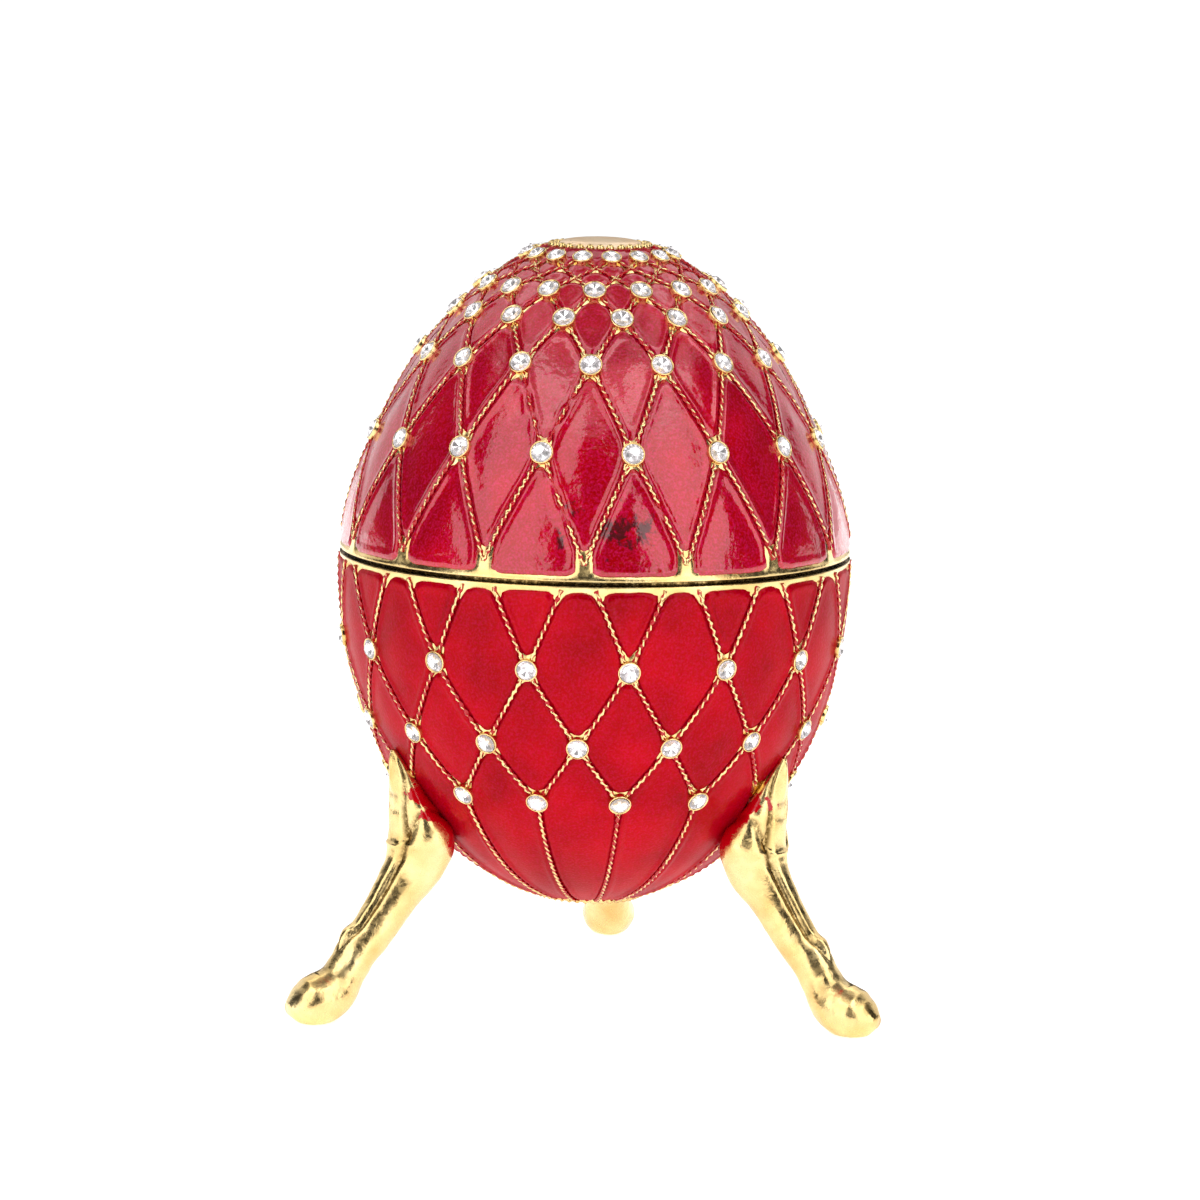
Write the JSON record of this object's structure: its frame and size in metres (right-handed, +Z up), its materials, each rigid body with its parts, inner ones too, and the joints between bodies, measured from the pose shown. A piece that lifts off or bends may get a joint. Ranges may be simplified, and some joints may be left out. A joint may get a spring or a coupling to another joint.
{
  "type": "trinket box",
  "caption": "Hollow egg-shaped trinket box with a lift-off lid, gold rope lattice over red enamel, crystals at its crossings, a gold disc on top and cast legs",
  "frame": {"origin": "on the ground, at the middle of the bounding box of the egg and its three legs", "axes": "+Z is up, along the egg's axis; -Y is the front that the picture shows; +X is to the right in that view"},
  "size_m": [0.0584, 0.059, 0.0768],
  "materials": {
    "lid_plate": "deep red translucent enamel between polished gold ropes",
    "base_plate": "deep red glossy enamel between polished gold ropes",
    "leg_plate": "polished gold plate with dark tarnish in the hollows",
    "crystal": "clear cut crystal with a silver foil back"
  },
  "bodies": {
    "root": {"base_shell": "base_plate", "leg_back": "leg_plate", "leg_left": "leg_plate", "leg_right": "leg_plate", "lid_shell": "lid_plate", "stone_first_01": "crystal", "stone_first_02": "crystal", "stone_first_03": "crystal", "stone_first_04": "crystal", "stone_first_05": "crystal", "stone_first_06": "crystal", "stone_first_07": "crystal", "stone_first_08": "crystal", "stone_first_09": "crystal", "stone_first_10": "crystal", "stone_first_11": "crystal", "stone_first_12": "crystal", "stone_first_13": "crystal", "stone_first_14": "crystal", "stone_first_15": "crystal", "stone_first_16": "crystal", "stone_second_01": "crystal", "stone_second_02": "crystal", "stone_second_03": "crystal", "stone_second_04": "crystal", "stone_second_05": "crystal", "stone_second_06": "crystal", "stone_second_07": "crystal", "stone_second_08": "crystal", "stone_second_09": "crystal", "stone_second_10": "crystal", "stone_second_11": "crystal", "stone_second_12": "crystal", "stone_second_13": "crystal", "stone_second_14": "crystal", "stone_second_15": "crystal", "stone_second_16": "crystal", "stone_third_01": "crystal", "stone_third_02": "crystal", "stone_third_03": "crystal", "stone_third_04": "crystal", "stone_third_05": "crystal", "stone_third_06": "crystal", "stone_third_07": "crystal", "stone_third_08": "crystal", "stone_third_09": "crystal", "stone_third_10": "crystal", "stone_third_11": "crystal", "stone_third_12": "crystal"}
  },
  "joints": []
}
